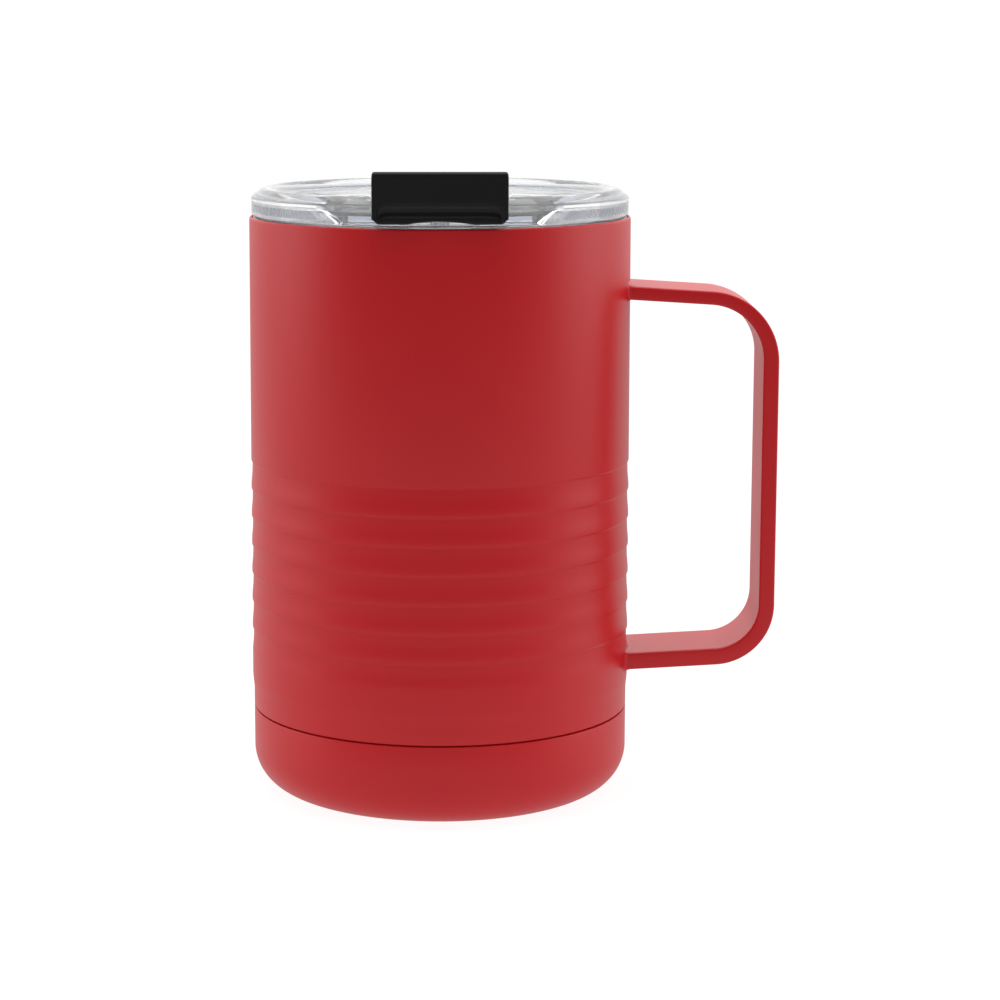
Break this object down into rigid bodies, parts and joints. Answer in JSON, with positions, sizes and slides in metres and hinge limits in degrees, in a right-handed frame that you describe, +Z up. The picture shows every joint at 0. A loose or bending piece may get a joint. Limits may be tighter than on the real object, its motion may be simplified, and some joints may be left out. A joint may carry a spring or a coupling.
{
  "type": "insulated travel mug",
  "caption": "Double-walled steel travel mug with a strap handle, grip rings, a bonded base cap and a clear press-in lid with a flip-up sip lever.",
  "frame": {"origin": "centre of the flat underside of the base cap, on the cup's axis", "axes": "+Z up along the cup's axis, +X from the cup's axis towards the handle's grip, -Y towards the tab of the lid's lever"},
  "size_m": [0.1222, 0.0898, 0.147],
  "materials": {
    "red_coat": "satin powder coat",
    "bare_steel": "fine turned and brushed",
    "foil": "bright foil",
    "sintered_metal": "pressed and sintered",
    "seal_glass": "fused bead",
    "bond_rubber": "cured adhesive",
    "clear_plastic": "clear polished moulding",
    "gasket_rubber": "translucent silicone",
    "black_plastic": "fine satin moulding",
    "grey_rubber": "silicone"
  },
  "bodies": {
    "cup": {"outer_shell": "red_coat", "inner_liner": "bare_steel", "foil_wrap": "foil", "vacuum_bottom": "bare_steel", "base_cap": "red_coat", "cap_bond_ring": "bond_rubber", "vacuum_seal_bead": "seal_glass", "getter_holder": "bare_steel", "getter_pellet": "sintered_metal", "handle_strap": "red_coat", "handle_weld_upper": "red_coat", "handle_weld_lower": "red_coat"},
    "gasket": {"lid_gasket": "gasket_rubber"},
    "lid": {"lid_top": "clear_plastic", "lid_plug": "clear_plastic", "hinge_pin": "bare_steel"},
    "lever": {"flip_lever": "black_plastic", "sip_seal": "grey_rubber", "vent_seal": "grey_rubber"}
  },
  "joints": [
    {"name": "lid_lift", "type": "slide", "parent": "cup", "child": "gasket", "axis": [0, 0, 1], "range_m": [0, 0.05]},
    {"name": "lid_turn", "type": "hinge", "parent": "gasket", "child": "lid", "pos_m": [0, 0, 0.13], "axis": [0, 0, 1], "continuous": true},
    {"name": "lever_flip", "type": "hinge", "parent": "lid", "child": "lever", "pos_m": [0, -0.004, 0.1396], "axis": [-1, 0, 0], "range_deg": [0, 165]}
  ]
}
